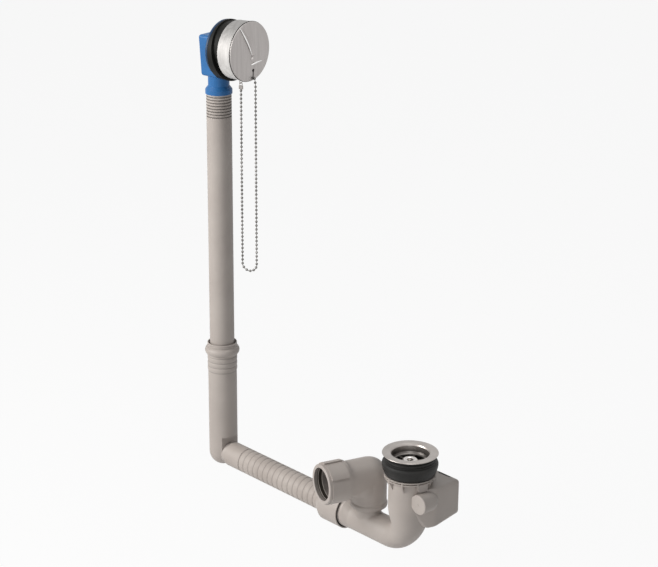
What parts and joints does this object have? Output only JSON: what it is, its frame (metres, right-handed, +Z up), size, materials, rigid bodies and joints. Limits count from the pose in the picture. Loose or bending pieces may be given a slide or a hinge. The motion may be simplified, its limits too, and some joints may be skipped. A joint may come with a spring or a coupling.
{
  "type": "bath waste and overflow",
  "caption": "Bath waste and overflow set: strainer waste with trap and swivel outlet, link hose, overflow tube and a plug held on a ball chain.",
  "frame": {"origin": "on the waste axis, at the underside of the waste flange, where it rests on the bath floor", "axes": "+Z up along the waste axis, +X level from the overflow tube to the waste, +Y level"},
  "size_m": [0.4277, 0.1245, 0.6293],
  "materials": {
    "grey_plastic": "satin moulded polypropylene",
    "hose_plastic": "satin moulded polypropylene, ribbed",
    "blue_plastic": "satin moulded polypropylene",
    "white_plastic": "smooth polyethylene",
    "black_rubber": "moulded rubber",
    "chrome": "satin chrome plate",
    "steel": "pressed stainless steel",
    "chain_steel": "bead chain",
    "brass": "turned brass"
  },
  "bodies": {
    "base": {"trap_body": "grey_plastic", "hose_coupling": "grey_plastic", "coupling_seal": "black_rubber", "link_hose": "hose_plastic", "lower_elbow": "grey_plastic", "socket_seal": "black_rubber", "waste_flange": "steel", "flange_seal": "black_rubber", "waste_gasket": "black_rubber", "waste_screw": "steel", "waste_insert": "brass"},
    "tube": {"overflow_tube": "grey_plastic"},
    "head": {"overflow_body": "blue_plastic", "head_insert": "brass", "head_seal": "black_rubber", "overflow_gasket": "black_rubber", "rosette": "chrome", "rosette_screw": "steel", "plug_cap": "chrome", "plug_seal": "black_rubber", "rosette_eyelet": "steel", "chain_connector": "steel", "plug_chain": "chain_steel"},
    "outlet": {"outlet_elbow": "grey_plastic", "elbow_seal": "black_rubber", "union_nut": "grey_plastic", "outlet_seal": "black_rubber", "slip_washer": "white_plastic"}
  },
  "joints": [
    {"name": "tube_slide", "type": "slide", "parent": "base", "child": "tube", "axis": [0, 0, 1], "range_m": [-0.04, 0.06]},
    {"name": "head_swivel", "type": "hinge", "parent": "tube", "child": "head", "pos_m": [-0.3605, 0, 0.4474], "axis": [0, 0, 1], "range_deg": [-90, 90]},
    {"name": "outlet_swivel", "type": "hinge", "parent": "base", "child": "outlet", "pos_m": [-0.0722, 0, -0.0547], "axis": [0, 0, 1], "range_deg": [-140, 45]}
  ]
}
